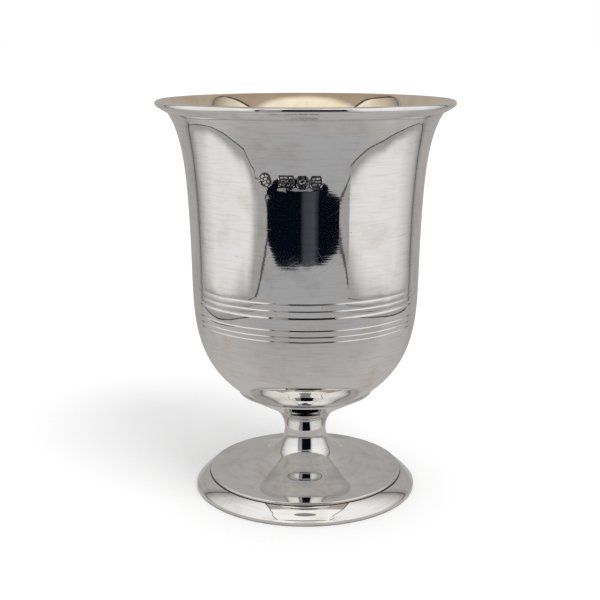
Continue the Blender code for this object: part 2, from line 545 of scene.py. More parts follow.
@dataclass(frozen=True)
class Gilding:
    """Fire-bright electroplated gold, worn pale by washing: a soft satin sheen with fine stirring rings."""

    bright: str = "#F5E9D3"
    deep: str = "#E8D8BC"
    roughness: float = 0.032
    patch_mm: float = 7.0
    worn_range: Span = (0.35, 0.7)
    haze_range: Span = (0.3, 0.7)
    haze_gains: Span = (0.8, 1.4)
    ring_mm: float = 0.5
    ring_run_mm: float = 25
    ring_rise: float = 0.0015 * MM

    def make(self, name: str) -> bpy.types.Material:
        """Make the gilding's material.

        Args:
            name: The material's name.

        Returns:
            The material.
        """
        material = bpy.data.materials.new(name)
        material.use_nodes = True
        tree = material.node_tree
        shader = tree.nodes["Principled BSDF"]
        place = add_node(tree, "ShaderNodeTexCoord").outputs["Object"]
        patches = add_node(
            tree,
            "ShaderNodeTexNoise",
            {"Vector": place, "Scale": 1 / (self.patch_mm * MM), "Detail": 5.0, "Roughness": 0.6},
        )
        share = add_node(
            tree,
            "ShaderNodeMapRange",
            {
                "Value": patches.outputs["Fac"],
                "From Min": self.worn_range[0],
                "From Max": self.worn_range[1],
            },
            interpolation_type="SMOOTHSTEP",
        )
        colour = add_node(tree, "ShaderNodeMix", {"Factor": share.outputs["Result"]}, data_type="RGBA")
        colour.inputs[6].default_value = linear(self.bright)
        colour.inputs[7].default_value = linear(self.deep)
        tree.links.new(colour.outputs[2], shader.inputs["Base Color"])
        rough = add_node(
            tree,
            "ShaderNodeMapRange",
            {
                "Value": patches.outputs["Fac"],
                "From Min": self.haze_range[0],
                "From Max": self.haze_range[1],
                "To Min": self.roughness * self.haze_gains[0],
                "To Max": self.roughness * self.haze_gains[1],
            },
        )
        tree.links.new(rough.outputs["Result"], shader.inputs["Roughness"])
        laid = add_node(
            tree,
            "ShaderNodeMapping",
            {"Vector": place, "Scale": (self.ring_run_mm * MM, self.ring_run_mm * MM, self.ring_mm * MM)},
            vector_type="TEXTURE",
        )
        rings = add_node(
            tree, "ShaderNodeTexNoise", {"Vector": laid.outputs["Vector"], "Scale": 1.0, "Detail": 4.0}
        )
        bump = add_node(
            tree,
            "ShaderNodeBump",
            {"Height": rings.outputs["Fac"], "Strength": 1.0, "Distance": self.ring_rise},
        )
        tree.links.new(bump.outputs["Normal"], shader.inputs["Normal"])
        shader.inputs["Metallic"].default_value = 1.0
        return material


@dataclass(frozen=True)
class PunchTarnish:
    """Silver that polish no longer reaches, in the floors of the punched marks: grey, matt and mottled."""

    pale: str = "#8F8B88"
    dark: str = "#2A2829"
    roughness: float = 0.25
    mottle_mm: float = 0.5
    mottle_range: Span = (0.38, 0.62)

    def make(self, name: str) -> bpy.types.Material:
        """Make the tarnish's material.

        Args:
            name: The material's name.

        Returns:
            The material.
        """
        material = bpy.data.materials.new(name)
        material.use_nodes = True
        tree = material.node_tree
        shader = tree.nodes["Principled BSDF"]
        place = add_node(tree, "ShaderNodeTexCoord").outputs["Object"]
        mottle = add_node(
            tree, "ShaderNodeTexNoise", {"Vector": place, "Scale": 1 / (self.mottle_mm * MM), "Detail": 3.0}
        )
        ramp = add_node(tree, "ShaderNodeValToRGB", {"Fac": mottle.outputs["Fac"]})
        set_stops(ramp, [(self.mottle_range[0], self.dark), (self.mottle_range[1], self.pale)])
        tree.links.new(ramp.outputs["Color"], shader.inputs["Base Color"])
        shader.inputs["Metallic"].default_value = 1.0
        shader.inputs["Roughness"].default_value = self.roughness
        return material


class Shape(Enum):
    """The outline of a punch's face, by how far its corners are rounded in millimetres."""

    OBLONG = 0.35
    CANTED = 0.60
    OVAL = 1.30


@dataclass(frozen=True)
class Punch:
    """One small punched mark: a sunk field that holds a few raised plain strokes, which stand for nothing."""

    azimuth: float
    height: float
    width: float
    tall: float
    shape: Shape
    strokes: tuple[tuple[float, float, float, float], ...]
    tilt: float = 0.0
    stroke_half: float = 0.17
    depth: float = 0.13 * MM
    relief: float = 0.10 * MM
    dish: float = 0.035 * MM
    dish_reach: float = 1.6 * MM
    nearby_mm: float = 4

    def local(self, place: Vector) -> Point | None:
        """Find where a place lies on the mark, in the mark's own turned frame.

        Args:
            place: A place on the piece.

        Returns:
            Millimetres across and up from the mark's middle, or None where the place is far away.
        """
        if place.y > 0 or abs(place.z / MM - self.height) > self.nearby_mm:
            return None
        swing = math.atan2(place.x, -place.y) - math.radians(self.azimuth)
        across = swing * math.hypot(place.x, place.y) / MM
        if abs(across) > self.nearby_mm:
            return None
        up = place.z / MM - self.height
        turn = math.radians(self.tilt)
        return (across * math.cos(turn) + up * math.sin(turn), up * math.cos(turn) - across * math.sin(turn))

    def in_field(self, place: Vector) -> bool:
        """Tell whether a place lies in the sunk field.

        Args:
            place: A place on the piece.

        Returns:
            True inside the field's rounded outline.
        """
        spot = self.local(place)
        if spot is None:
            return False
        corner = min(self.shape.value, self.width / 2, self.tall / 2)
        beside = abs(spot[0]) - self.width / 2 + corner
        above = abs(spot[1]) - self.tall / 2 + corner
        return math.hypot(max(beside, 0), max(above, 0)) + min(max(beside, above), 0) < corner

    def on_stroke(self, place: Vector) -> bool:
        """Tell whether a place lies on a raised stroke.

        Args:
            place: A place on the piece.

        Returns:
            True within half a stroke's width of its line.
        """
        spot = self.local(place)
        if spot is None:
            return False
        for x1, y1, x2, y2 in self.strokes:
            run = (x2 - x1, y2 - y1)
            length = run[0] ** 2 + run[1] ** 2
            share = ((spot[0] - x1) * run[0] + (spot[1] - y1) * run[1]) / length if length else 0.0
            nearest = between((x1, y1), (x2, y2), min(max(share, 0.0), 1.0))
            if math.dist(nearest, spot) < self.stroke_half:
                return True
        return False

    def strike(self, piece: bpy.types.Object, outer: Callable[[Vector], bool]) -> None:
        """Strike the mark into a piece: the wall gives way round it, the field sinks and the strokes stay up.

        Args:
            piece: The piece that is marked.
            outer: Says whether a place lies on the piece's outer side.
        """
        angle = math.radians(self.azimuth)
        inwards = Vector((-math.sin(angle), math.cos(angle), 0.0))
        pick(piece, "VERT", lambda place: self.in_field(place) and outer(place))
        bpy.ops.transform.translate(
            value=inwards * self.dish,
            use_proportional_edit=True,
            proportional_edit_falloff="SMOOTH",
            proportional_size=self.dish_reach,
        )
        bpy.ops.transform.translate(value=inwards * self.depth)
        bpy.ops.object.mode_set(mode="OBJECT")
        pick(piece, "VERT", lambda place: self.in_field(place) and self.on_stroke(place) and outer(place))
        bpy.ops.transform.translate(value=inwards * -self.relief)
        bpy.ops.object.mode_set(mode="OBJECT")


PUNCHES = (
    Punch(
        azimuth=-17.45,
        height=92.0,
        width=2.9,
        tall=3.6,
        shape=Shape.OVAL,
        tilt=14.0,
        strokes=((-0.7, 0.9, -0.2, 1.0), (0.45, 0.9, 0.7, 0.8), (-0.9, 0.1, -0.75, 0.1),
                 (-0.1, 0.1, 0.3, 0.2), (-0.6, -0.7, -0.1, -0.6), (0.6, -0.6, 0.7, -0.5),
                 (-0.1, -1.3, 0.1, -1.3)),
        stroke_half=0.24,
    ),
    Punch(
        azimuth=-8.26,
        height=91.8,
        width=3.8,
        tall=2.9,
        shape=Shape.OBLONG,
        strokes=((-1.35, 0.85, -0.85, 0.85), (-0.25, 0.85, 0.3, 0.85), (0.9, 0.85, 1.35, 0.85),
                 (-1.0, 0.0, -0.3, 0.0), (0.35, 0.0, 1.0, 0.0),
                 (-1.35, -0.85, -0.85, -0.85), (-0.25, -0.85, 0.3, -0.85), (0.9, -0.85, 1.35, -0.85)),
        stroke_half=0.20,
    ),
    Punch(
        azimuth=-1.26,
        height=91.7,
        width=2.7,
        tall=2.9,
        shape=Shape.CANTED,
        strokes=((-0.25, -0.1, 0.25, 0.1),),
        stroke_half=0.50,
    ),
    Punch(
        azimuth=4.65,
        height=91.7,
        width=2.8,
        tall=2.9,
        shape=Shape.CANTED,
        strokes=((-0.75, 0.75, -0.6, 0.75), (0.05, 0.75, 0.65, 0.75), (-0.65, 0.0, -0.1, 0.0),
                 (0.6, 0.0, 0.75, 0.0), (-0.75, -0.75, -0.6, -0.75), (0.05, -0.75, 0.65, -0.75)),
        stroke_half=0.22,
    ),
)


@dataclass
class Bowl:
    """The turned bowl: a moulded lip, a flared body, six engraved threads and a rounded bottom."""

    rim_radius: float
    height: float
    turn: Point
    lip_round: float = 0.85 * MM
    lip_overhang: float = 3.05 * MM
    lip_depth: float = 3.15 * MM
    lip_crease: Point = (-0.305 * MM, -0.055 * MM)
    lip_turn: float = 57.0
    lip_foot_lean: float = 70.0
    lip_pull: float = 0.75 * MM
    fillet: Point = (-0.4 * MM, -0.35 * MM)
    neck: Point = (-0.2 * MM, -0.35 * MM)
    neck_lean: float = 31.02
    middle: Point = (33.087 * MM, 93.187 * MM)
    middle_lean: float = 7.526
    straight: Point = (31.515 * MM, 61.94 * MM)
    straight_lean: float = 0.957
    turn_lean: float = 53.26
    upper_pulls: Span = (4.088 * MM, 4.399 * MM)
    body_pulls: Span = (9.753 * MM, 4.840 * MM)
    lower_pulls: Span = (12.957 * MM, 14.153 * MM)
    bottom_pulls: Span = (3.0 * MM, 10.0 * MM)
    bottom_depth: float = 3.2 * MM
    wall: float = 0.8 * MM
    wall_start: float = 0.35
    inner_lip_end: float = 140.0
    inner_leans: Span = (40.0, 21.0)
    inner_pull: float = 2.0 * MM
    gilt_margin: float = 0.1 * MM
    facing_up: float = 0.5
    thread_drops: tuple[float, ...] = (1.36, 3.23, 5.01, 8.39, 10.09, 11.47)
    thread_width: float = 0.5 * MM
    wide_thread: int = 2
    wide_thread_width: float = 0.8 * MM
    thread_depth: float = 0.15 * MM
    thread_side: tuple[Span, ...] = ((1.35, 0.0), (1.0, 0.04), (0.75, 0.25), (0.3, 0.88))
    marks_low: float = 89.6 * MM
    marks_high: float = 94.2 * MM
    marks_left: float = -23.0
    marks_right: float = 10.0
    marks_margin: float = 0.05
    marks_middle: float = 92 * MM
    marks_reach: float = 9 * MM
    finer_cuts: int = 6
    dents_mm: tuple[tuple[float, float, float, float], ...] = (
        (-1.5, 95.0, 9.5, 0.13),
        (-10.0, 96.0, 6.0, 0.05),
    )

    def __post_init__(self) -> None:
        """Work out the places where the outline's stretches meet."""
        self.lip_foot = (self.rim_radius - self.lip_overhang, self.height - self.lip_depth)
        self.fillet_place = added(self.lip_foot, self.fillet)
        neck = added(self.fillet_place, self.neck)
        bottom = (0.0, self.turn[1] - self.bottom_depth)
        self.lip_centre = (self.rim_radius - self.lip_round, self.height - self.lip_round)
        start, end = self.upper_pulls
        self.upper = Sweep(neck, self.neck_lean, start, self.middle, self.middle_lean, end)
        start, end = self.body_pulls
        self.body = Sweep(self.middle, self.middle_lean, start, self.straight, self.straight_lean, end)
        start, end = self.lower_pulls
        self.lower = Sweep(self.straight, self.straight_lean, start, self.turn, self.turn_lean, end)
        start, end = self.bottom_pulls
        self.bottom = Sweep(self.turn, self.turn_lean, start, bottom, 90.0, end)

    def threads(self) -> tuple[list[Point], float]:
        """Outline the band of engraved threads, whose edges polishing has rounded.

        Returns:
            The band's points, and the t on the lower sweep where plain metal starts again.
        """
        points: list[Point] = []
        half = 0.0
        for index, drop in enumerate(self.thread_drops):
            height = self.straight[1] - drop * MM
            half = (self.wide_thread_width if index == self.wide_thread else self.thread_width) / 2
            side = self.thread_side
            for share, depth in (*side, (0.0, 1.0), *((-share, depth) for share, depth in reversed(side))):
                t = self.lower.where(1, height + share * half)
                points.append(self.lower.inside(t, depth * self.thread_depth))
        last = self.straight[1] - self.thread_drops[-1] * MM - self.thread_side[0][0] * half
        return points, self.lower.where(1, last)

    def outside(self) -> list[Point]:
        """Outline the silver side.

        Returns:
            The points from the crest of the rim down to the axis.
        """
        points = arc(self.lip_centre, self.lip_round, 90.0, -self.lip_turn, 14)
        pull = self.lip_pull
        under = Sweep(points[-1], self.lip_turn, pull, self.lip_foot, self.lip_foot_lean, pull)
        points += under.points(6)[1:]
        points += [added(self.lip_foot, self.lip_crease), self.fillet_place]
        cut, plain = self.threads()
        points += self.upper.points(22)
        points += self.body.points(40)[1:] + cut
        points += self.lower.points(40, start=plain)[1:] + self.bottom.points(14)[1:]
        return points

    def inner(self) -> list[Point]:
        """Outline the gilt side.

        Returns:
            The points from the axis up to just below the crest.
        """
        lip = arc(self.lip_centre, self.lip_round, self.inner_lip_end, 90.0, 6)
        top = self.upper.inside(self.wall_start, self.wall)
        first, last = self.inner_leans
        flare = Sweep(lip[0], first, self.inner_pull, top, last, self.inner_pull)
        points = flare.points(10)[:-1] + self.upper.points(10, start=self.wall_start, depth=self.wall)
        points += self.body.points(16, depth=self.wall)[1:]
        points += self.lower.points(28, depth=self.wall)[1:]
        points += self.bottom.points(12, depth=self.wall)[1:]
        points.reverse()
        return points + lip[1:-1]

    def radius_at(self, height: float) -> float:
        """Return the radius of the polished side at a height on the plain wall."""
        sweep = self.upper if height > self.middle[1] else self.body
        return sweep.at(sweep.where(1, height))[0]

    def on_wall(self, place: Vector) -> bool:
        """Tell whether a place near the marks lies on the polished side rather than the gilt one.

        Args:
            place: A place on the bowl.

        Returns:
            True on the polished side, near the marks.
        """
        if place.y > 0 or abs(place.z - self.marks_middle) > self.marks_reach:
            return False
        return math.hypot(place.x, place.y) > self.radius_at(place.z) - self.wall / 2

    def mark(self, piece: bpy.types.Object) -> None:
        """Make the wall finer under the marks, give it its shallow dents and strike the marks.

        Args:
            piece: The turned bowl.
        """
        low, high = self.marks_low, self.marks_high
        left, right = math.radians(self.marks_left), math.radians(self.marks_right)
        found = pick(
            piece,
            "FACE",
            lambda place: low < place.z < high
            and left < math.atan2(place.x, -place.y) < right
            and self.on_wall(place),
        )
        bpy.ops.mesh.subdivide(number_cuts=self.finer_cuts)
        bpy.ops.object.mode_set(mode="OBJECT")
        log.info("marks: %d faces made finer", found)
        # Subdividing leaves the new points on flat facets, which a mirror shows at once. No operator sets
        # points on a curve, so each goes back onto the turned profile here.
        known: dict[float, float] = {}
        for point in piece.data.vertices:
            place = point.co
            angle = math.atan2(place.x, -place.y)
            level = low - MM < place.z < high + MM
            beside = left - self.marks_margin < angle < right + self.marks_margin
            if level and beside and self.on_wall(place):
                key = round(place.z / MM, 4)
                if key not in known:
                    known[key] = self.radius_at(place.z)
                scale = known[key] / math.hypot(place.x, place.y)
                place.x *= scale
                place.y *= scale
        for x, z, reach, rise in self.dents_mm:
            spot = Vector((x * MM, -math.sqrt(self.radius_at(z * MM) ** 2 - (x * MM) ** 2), z * MM))
            front = (point.co for point in piece.data.vertices if point.co.y < 0)
            chosen = min(front, key=lambda place: (place - spot).length).copy()
            pick(piece, "VERT", lambda place: (place - chosen).length < MERGE)
            bpy.ops.transform.translate(
                value=(0.0, rise * MM, 0.0),
                use_proportional_edit=True,
                proportional_edit_falloff="SMOOTH",
                proportional_size=reach * MM,
            )
            bpy.ops.object.mode_set(mode="OBJECT")
        for punch in PUNCHES:
            punch.strike(piece, self.on_wall)

    def build(
        self, silver: bpy.types.Material, gilt: bpy.types.Material, tarnish: bpy.types.Material
    ) -> bpy.types.Object:
        """Turn the bowl, mark it and dress it.

        Args:
            silver: Finish of the outside.
            gilt: Finish of the inside.
            tarnish: Finish of the floors of the marks.

        Returns:
            The finished bowl.
        """
        outside = self.outside()
        inner = self.inner()
        piece = turned("goblet_bowl", outside + inner + outside[:1])
        for material in (silver, gilt, tarnish):
            piece.data.materials.append(material)
        floor = inner[0][1] - self.wall / 2
        for face in piece.data.polygons:
            radius = math.hypot(face.center.x, face.center.y)
            outward = face.normal.x * face.center.x + face.normal.y * face.center.y
            if radius > self.lip_centre[0] - self.gilt_margin or face.center.z < floor:
                continue
            if outward < 0 or (face.normal.z > self.facing_up and face.center.z > self.lip_centre[1]):
                face.material_index = GILT_SLOT
        self.mark(piece)
        for face in piece.data.polygons:
            silvered = face.material_index == SILVER_SLOT
            if silvered and any(punch.in_field(face.center) for punch in PUNCHES):
                if not any(punch.on_stroke(face.center) for punch in PUNCHES):
                    face.material_index = TARNISH_SLOT
        bpy.ops.object.select_all(action="DESELECT")
        piece.select_set(True)
        bpy.ops.object.shade_smooth_by_angle(angle=math.radians(SMOOTH_BELOW))
        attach(piece, "root")
        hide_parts("bowl")
        return piece


@dataclass
class Foot:
    """The turned foot: a collar, a waisted stem, a trumpet, a shoulder and a standing ring."""

    edge_radius: float
    collar_radius: float = 19.08 * MM
    collar_round: float = 0.3 * MM
    collar_under: float = -60.0
    seat_width: float = 3.3 * MM
    calyx_slope: float = 28.7
    waist_radius: float = 5.88 * MM
    waist_height: float = 16.82 * MM
    upper_sweep: float = 7.5 * MM
    lower_sweep: float = 8.153 * MM
    lower_sweep_end: float = 238.061
    plateau: Point = (17.697 * MM, 6.660 * MM)
    plateau_lean: float = -75.212
    trumpet_end: Point = (27.10 * MM, 4.95 * MM)
    trumpet_end_lean: float = -89.067
    foot_wall: float = 0.85 * MM
    shoulder_round: float = 0.37 * MM
    shoulder_arc: Span = (84.0, -6.0)
    crease: Point = (27.40 * MM, 4.03 * MM)
    flank_top: Point = (27.85 * MM, 4.10 * MM)
    edge_height: float = 1.0 * MM
    edge_round: float = 0.1 * MM
    standing_width: float = 1.1 * MM
    flare_pulls: Span = (3.076 * MM, 4.704 * MM)
    apron_pulls: Span = (4.071 * MM, 3.928 * MM)
    crease_lead: Point = (0.06 * MM, 0.12 * MM)
    flank_lead: Point = (-0.22 * MM, -0.01 * MM)
    flank_foot_lead: Point = (-0.2 * MM, 0.15 * MM)
    flank_leans: Span = (-57.0, -38.0)
    flank_pull: float = 1.5 * MM
    seat_sink: float = 0.02 * MM
    seat_margin: float = 0.1 * MM

    def __post_init__(self) -> None:
        """Work out the collar's place from the waist, and the trumpet's sweeps."""
        self.waist_top = (self.waist_radius + self.upper_sweep, self.waist_height)
        self.waist_low = (self.waist_radius + self.lower_sweep, self.waist_height)
        start = polar(self.waist_top, self.upper_sweep, 90.0 + self.calyx_slope)
        run = self.collar_radius - self.collar_round - start[0]
        self.calyx_top = added(start, (run, run * math.tan(math.radians(self.calyx_slope))))
        self.collar_edge = added(self.calyx_top, (self.collar_round, self.collar_round))
        self.flank_foot = added((self.edge_radius, self.edge_height), self.flank_foot_lead)
        first, last = self.flank_leans
        self.flank = Sweep(self.flank_top, first, self.flank_pull, self.flank_foot, last, self.flank_pull)
        flare = polar(self.waist_low, self.lower_sweep, self.lower_sweep_end)
        flare_lean = 180.0 - self.lower_sweep_end
        near, far = self.flare_pulls
        self.flare = Sweep(flare, flare_lean, near, self.plateau, self.plateau_lean, far)
        near, far = self.apron_pulls
        self.apron = Sweep(
            self.plateau, self.plateau_lean, near, self.trumpet_end, self.trumpet_end_lean, far
        )

    def outside(self) -> list[Point]:
        """Outline the foot's polished side.

        Returns:
            The points from the collar down to the standing ring.
        """
        round_centre = (self.calyx_top[0], self.collar_edge[1])
        points = arc(round_centre, self.collar_round, 0.0, self.collar_under, 5) + [self.calyx_top]
        points += arc(self.waist_top, self.upper_sweep, 90.0 + self.calyx_slope, 180.0, 26)
        points += arc(self.waist_low, self.lower_sweep, 180.0, self.lower_sweep_end, 30)[1:]
        points += self.flare.points(26)[1:] + self.apron.points(30)[1:]
        shoulder = (self.trumpet_end[0], self.trumpet_end[1] - self.shoulder_round)
        points += arc(shoulder, self.shoulder_round, *self.shoulder_arc, 8)
        points += [added(self.crease, self.crease_lead), self.crease]
        points += [added(self.flank_top, self.flank_lead)]
        points += self.flank.points(14)
        points += [(self.edge_radius, self.edge_height), (self.edge_radius, self.edge_round)]
        points += [(self.edge_radius - self.edge_round, 0.0)]
        return points

    def underneath(self, seat: list[Point]) -> list[Point]:
        """Outline the hollow inside of the foot, from the standing ring up to the bowl's seat.

        Args:
            seat: The points where the bowl's bottom rests, from the inner to the outer one.

        Returns:
            The points in order.
        """
        run = (self.flank_foot[0] - self.flank_top[0], self.flank_foot[1] - self.flank_top[1])
        scale = self.foot_wall / math.hypot(*run)
        sunk = (run[1] * scale, -run[0] * scale)
        foot = added(self.flank_foot, sunk)
        inner = self.edge_radius - self.standing_width
        points = [(inner, 0.0), (inner, foot[1] + (inner - foot[0]) * run[1] / run[0])]
        points += [added(self.flank_top, sunk)]
        under = self.flare.points(14, depth=self.foot_wall) + self.apron.points(14, depth=self.foot_wall)[1:]
        under.reverse()
        points += under
        points += arc(self.waist_low, self.lower_sweep + self.foot_wall, self.lower_sweep_end, 180.0, 12)[1:]
        end = 90.0 + self.calyx_slope
        points += arc(self.waist_top, self.upper_sweep + self.foot_wall, 180.0, end, 14)[1:]
        return points + seat

    def build(self, bowl: Bowl, silver: bpy.types.Material) -> bpy.types.Object:
        """Turn the foot up to the bowl's bottom and dress it.

        Args:
            bowl: The bowl that the collar holds.
            silver: Finish of the whole foot.

        Returns:
            The finished foot.
        """
        outer = bowl.bottom.where(0, self.collar_radius - self.seat_margin)
        inner = bowl.bottom.where(0, self.collar_radius - self.seat_width)
        seat = bowl.bottom.points(6, start=inner, end=outer, depth=self.seat_sink)
        outside = self.outside()
        piece = turned("goblet_foot", outside + self.underneath(seat) + outside[:1])
        piece.data.materials.append(silver)
        bpy.ops.object.select_all(action="DESELECT")
        piece.select_set(True)
        bpy.ops.object.shade_smooth_by_angle(angle=math.radians(SMOOTH_BELOW))
        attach(piece, "root")
        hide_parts("foot")
        return piece


@dataclass(frozen=True)
class TentCloth:
    """White cotton cloth that light comes through.

    Its glow follows a line of greys along one axis and rises with height. That gives the metal soft panels.
    """

    name: str
    axis: int
    start: float
    end: float
    stops: tuple[tuple[float, str], ...]
    floor_grey: str = "#A5A3A1"
    foot: float = 0.0
    hem: float = 22 * MM
    hem_wave: float = 16 * MM
    fold_mm: float = 55.0
    hem_shares: Span = (0.45, 1.35)
    climb: Span = (0.02, 0.17)
    climb_gain: float = 1.16

    def make(self) -> bpy.types.Material:
        """Make the cloth's material, an even glow that only mirrors see.

        Returns:
            The material.
        """
        material = bpy.data.materials.new(self.name)
        material.use_nodes = True
        tree = material.node_tree
        tree.nodes.clear()
        place = add_node(tree, "ShaderNodeTexCoord").outputs["Object"]
        parts = add_node(tree, "ShaderNodeSeparateXYZ", {"Vector": place})
        folds = add_node(
            tree, "ShaderNodeTexNoise", {"Vector": place, "Scale": 1 / (self.fold_mm * MM), "Detail": 2.0}
        )
        along = add_node(
            tree,
            "ShaderNodeMapRange",
            {"Value": parts.outputs[self.axis], "From Min": self.start, "From Max": self.end},
        )
        ramp = add_node(tree, "ShaderNodeValToRGB", {"Fac": along.outputs["Result"]})
        set_stops(ramp, list(self.stops))
        lifted = add_node(
            tree,
            "ShaderNodeMath",
            {0: folds.outputs["Fac"], 1: self.hem_wave, 2: parts.outputs[2]},
            operation="MULTIPLY_ADD",
        )
        low = self.foot + self.hem_wave / 2
        rise = add_node(
            tree,
            "ShaderNodeMapRange",
            {
                "Value": lifted.outputs["Value"],
                "From Min": low + self.hem * self.hem_shares[0],
                "From Max": low + self.hem * self.hem_shares[1],
            },
            interpolation_type="SMOOTHSTEP",
        )
        cloth = add_node(tree, "ShaderNodeMix", {"Factor": rise.outputs["Result"]}, data_type="RGBA")
        cloth.inputs[6].default_value = linear(self.floor_grey)
        tree.links.new(ramp.outputs["Color"], cloth.inputs[7])
        height = add_node(
            tree,
            "ShaderNodeMapRange",
            {
                "Value": parts.outputs[2],
                "From Min": self.climb[0],
                "From Max": self.climb[1],
                "To Min": 1.0,
                "To Max": self.climb_gain,
            },
        )
        glow = add_node(
            tree,
            "ShaderNodeEmission",
            {"Color": cloth.outputs[2], "Strength": height.outputs["Result"]},
        )
        add_node(tree, "ShaderNodeOutputMaterial", {"Surface": glow.outputs["Emission"]})
        material.cycles.emission_sampling = "NONE"
        return material


def plain_glow(name: str, colour: str) -> bpy.types.Material:
    """Make a surface that glows evenly in one colour.

    Args:
        name: The material's name.
        colour: An sRGB colour.

    Returns:
        The material.
    """
    material = bpy.data.materials.new(name)
    material.use_nodes = True
    tree = material.node_tree
    tree.nodes.clear()
    glow = add_node(tree, "ShaderNodeEmission", {"Color": linear(colour), "Strength": 1.0})
    add_node(tree, "ShaderNodeOutputMaterial", {"Surface": glow.outputs["Emission"]})
    material.cycles.emission_sampling = "NONE"
    return material


